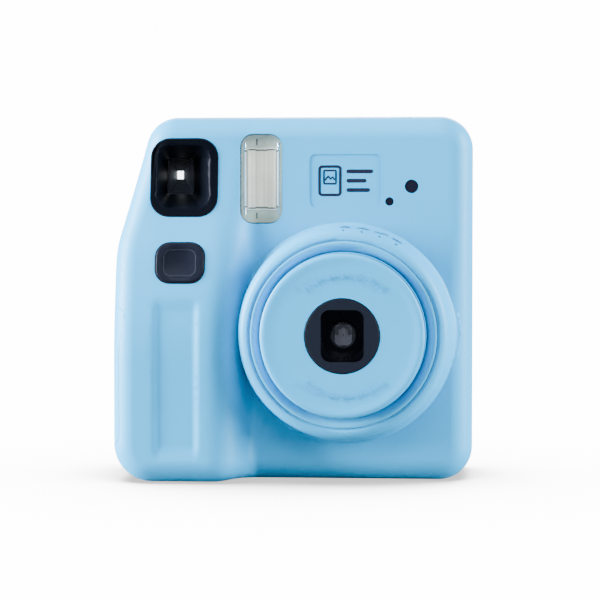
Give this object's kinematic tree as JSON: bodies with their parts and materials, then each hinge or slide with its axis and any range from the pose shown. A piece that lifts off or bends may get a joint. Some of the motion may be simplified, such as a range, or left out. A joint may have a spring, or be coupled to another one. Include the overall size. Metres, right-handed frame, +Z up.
{
  "type": "instant camera",
  "caption": "Compact instant film camera with a rounded moulded shell, side grip, slide-out lens, flash, viewfinder and a print slot in its top.",
  "frame": {"origin": "on the ground under the middle of the body's width, in line with the front panel's back side: 20 mm behind the front panel", "axes": "+X to the right of someone facing the lens, +Y from the lens to the back, +Z up"},
  "size_m": [0.119, 0.0705, 0.1215],
  "materials": {
    "body_blue": "satin moulded shell, fine texture",
    "lens_blue": "satin moulded",
    "door_blue": "satin moulded shell",
    "black_plastic": "matte black moulding",
    "black_gloss": "smooth black",
    "charcoal_button": "satin charcoal",
    "clear_plastic": "clear moulded plastic",
    "frosted_plastic": "clear moulding with frosted ends",
    "smoked_plastic": "smoked clear plastic",
    "lens_glass": "coated optical plastic",
    "steel": "plain bright steel",
    "spring_steel": "drawn wire",
    "screw_steel": "black zinc",
    "roller_steel": "knurled ends",
    "gear_nylon": "natural acetal",
    "brass_gear": "cut brass",
    "bush_nylon": "natural acetal",
    "motor_can": "zinc plated can",
    "reflector_metal": "bright anodised",
    "flash_glass": "quartz tube",
    "amber_lamp": "diffused amber",
    "board_green": "solder-mask laminate",
    "cell_wrap": "printed sleeve, plain",
    "capacitor_wrap": "shrink sleeve",
    "contact_metal": "nickel plated",
    "foam": "closed-cell foam",
    "film_white": "coated sheet",
    "film_black": "moulded cassette",
    "counter_ink": "white with dark figures",
    "copper_coil": "wound coil"
  },
  "bodies": {
    "case": {"front_cover": "body_blue", "rear_cover": "body_blue", "chassis": "black_plastic", "film_door_hinge_pin": "steel", "battery_door_pin": "steel", "latch_spring": "spring_steel", "counter_window": "clear_plastic", "lens_guide_tube": "black_plastic", "exposure_lamps": "amber_lamp", "viewfinder_bezel": "black_gloss", "viewfinder_tube": "black_plastic", "viewfinder_front_lens": "lens_glass", "eyepiece_bezel": "black_gloss", "eyepiece_lens": "lens_glass", "flash_window": "frosted_plastic", "flash_reflector": "reflector_metal", "flash_tube": "flash_glass", "sensor_windows": "smoked_plastic", "sensor_board": "board_green", "button_spring": "spring_steel", "button_switch": "board_green", "main_board": "board_green", "batteries": "cell_wrap", "battery_box": "black_plastic", "battery_contacts": "contact_metal", "flash_capacitor": "capacitor_wrap", "drive_motor": "motor_can", "motor_bracket": "steel", "roller_bushes": "bush_nylon", "film_pack": "film_black", "film_stack": "film_white", "strap_bar": "steel", "screws": "screw_steel"},
    "lens": {"lens_barrel": "lens_blue", "lens_front_disc": "lens_blue", "lens_hood_ring": "black_gloss", "lens_cell": "black_plastic", "lens_retainer": "black_plastic", "front_lens": "lens_glass", "rear_lens": "lens_glass", "shutter_plate": "black_plastic", "shutter_solenoid": "copper_coil"},
    "aperture": {"aperture_disc": "black_plastic"},
    "shutter": {"shutter_blade": "steel"},
    "dial": {"exposure_dial": "lens_blue"},
    "button": {"shutter_button": "charcoal_button"},
    "back_door": {"film_door": "door_blue", "film_check_window": "clear_plastic", "door_light_seal": "foam", "door_pressure_springs": "spring_steel"},
    "latch": {"door_latch": "door_blue"},
    "side_door": {"battery_door": "body_blue"},
    "drive": {"drive_roller": "roller_steel"},
    "pinch": {"pinch_roller": "roller_steel"},
    "transfer": {"transfer_gear": "gear_nylon"},
    "compound": {"compound_gear": "gear_nylon"},
    "pinion": {"motor_pinion": "brass_gear"},
    "print": {"print_sheet": "film_white"},
    "counter": {"counter_dial": "counter_ink"},
    "pick": {"film_pick": "steel"}
  },
  "joints": [
    {"name": "lens_extend", "type": "slide", "parent": "case", "child": "lens", "axis": [0, -1, 0], "range_m": [0, 0.011]},
    {"name": "exposure_dial_turn", "type": "hinge", "parent": "case", "child": "dial", "pos_m": [0.0172, -0.027, 0.0493], "axis": [0, -1, 0], "range_deg": [-30, 0]},
    {"name": "aperture_turn", "type": "hinge", "parent": "lens", "child": "aperture", "pos_m": [0.0252, -0.0295, 0.0493], "axis": [0, -1, 0], "range_deg": [-90, 0]},
    {"name": "shutter_blade_swing", "type": "hinge", "parent": "lens", "child": "shutter", "pos_m": [0.0082, -0.0281, 0.0423], "axis": [0, -1, 0], "range_deg": [0, 40]},
    {"name": "shutter_button_press", "type": "slide", "parent": "case", "child": "button", "axis": [0, 0.9703, -0.2419], "range_m": [0, 0.0013], "stiffness_N_per_m": 600, "springref_m": -0.001, "deforming": ["button_spring"]},
    {"name": "film_door_open", "type": "hinge", "parent": "case", "child": "back_door", "pos_m": [0.0512, 0.0296, 0.059], "axis": [0, 0, -1], "range_deg": [0, 95]},
    {"name": "door_latch_slide", "type": "slide", "parent": "case", "child": "latch", "axis": [0, 0, 1], "range_m": [0, 0.004], "stiffness_N_per_m": 200, "springref_m": -0.001, "deforming": ["latch_spring"]},
    {"name": "battery_door_open", "type": "hinge", "parent": "case", "child": "side_door", "pos_m": [-0.0584, 0.0065, 0.03525], "axis": [0, 0, -1], "range_deg": [0, 88]},
    {"name": "drive_roller_turn", "type": "hinge", "parent": "case", "child": "drive", "pos_m": [0.0172, 0.01, 0.105], "axis": [1, 0, 0], "range_deg": [0, 1296]},
    {"name": "pinch_roller_turn", "type": "hinge", "parent": "case", "child": "pinch", "pos_m": [0.0172, 0.0189, 0.105], "axis": [1, 0, 0], "range_deg": [-1300, 4]},
    {"name": "transfer_gear_turn", "type": "hinge", "parent": "case", "child": "transfer", "pos_m": [-0.0194, 0.00601, 0.09226], "axis": [1, 0, 0], "range_deg": [-652, 4]},
    {"name": "compound_gear_turn", "type": "hinge", "parent": "case", "child": "compound", "pos_m": [-0.021, 0.00209, 0.08106], "axis": [1, 0, 0], "range_deg": [-4, 1948]},
    {"name": "motor_pinion_turn", "type": "hinge", "parent": "case", "child": "pinion", "pos_m": [-0.0228, 0.014, 0.074], "axis": [1, 0, 0], "range_deg": [-7132, 4]},
    {"name": "print_eject", "type": "slide", "parent": "case", "child": "print", "axis": [0, 0, 1], "range_m": [0, 0.0952]},
    {"name": "counter_dial_turn", "type": "hinge", "parent": "case", "child": "counter", "pos_m": [-0.038, 0.0239, 0.02], "axis": [0, 1, 0], "range_deg": [0, 31]},
    {"name": "film_pick_slide", "type": "slide", "parent": "case", "child": "pick", "axis": [0, 0, 1], "range_m": [0, 0.004]}
  ],
  "couplings": [
    {"joint": "aperture_turn", "follows": "exposure_dial_turn", "ratio": 3},
    {"joint": "pinch_roller_turn", "follows": "drive_roller_turn", "ratio": -1},
    {"joint": "transfer_gear_turn", "follows": "drive_roller_turn", "ratio": -0.5},
    {"joint": "compound_gear_turn", "follows": "drive_roller_turn", "ratio": 1.5},
    {"joint": "motor_pinion_turn", "follows": "drive_roller_turn", "ratio": -5.5},
    {"joint": "print_eject", "follows": "drive_roller_turn", "m_per_rad": 0.0042},
    {"joint": "counter_dial_turn", "follows": "drive_roller_turn", "ratio": 0.023148}
  ]
}
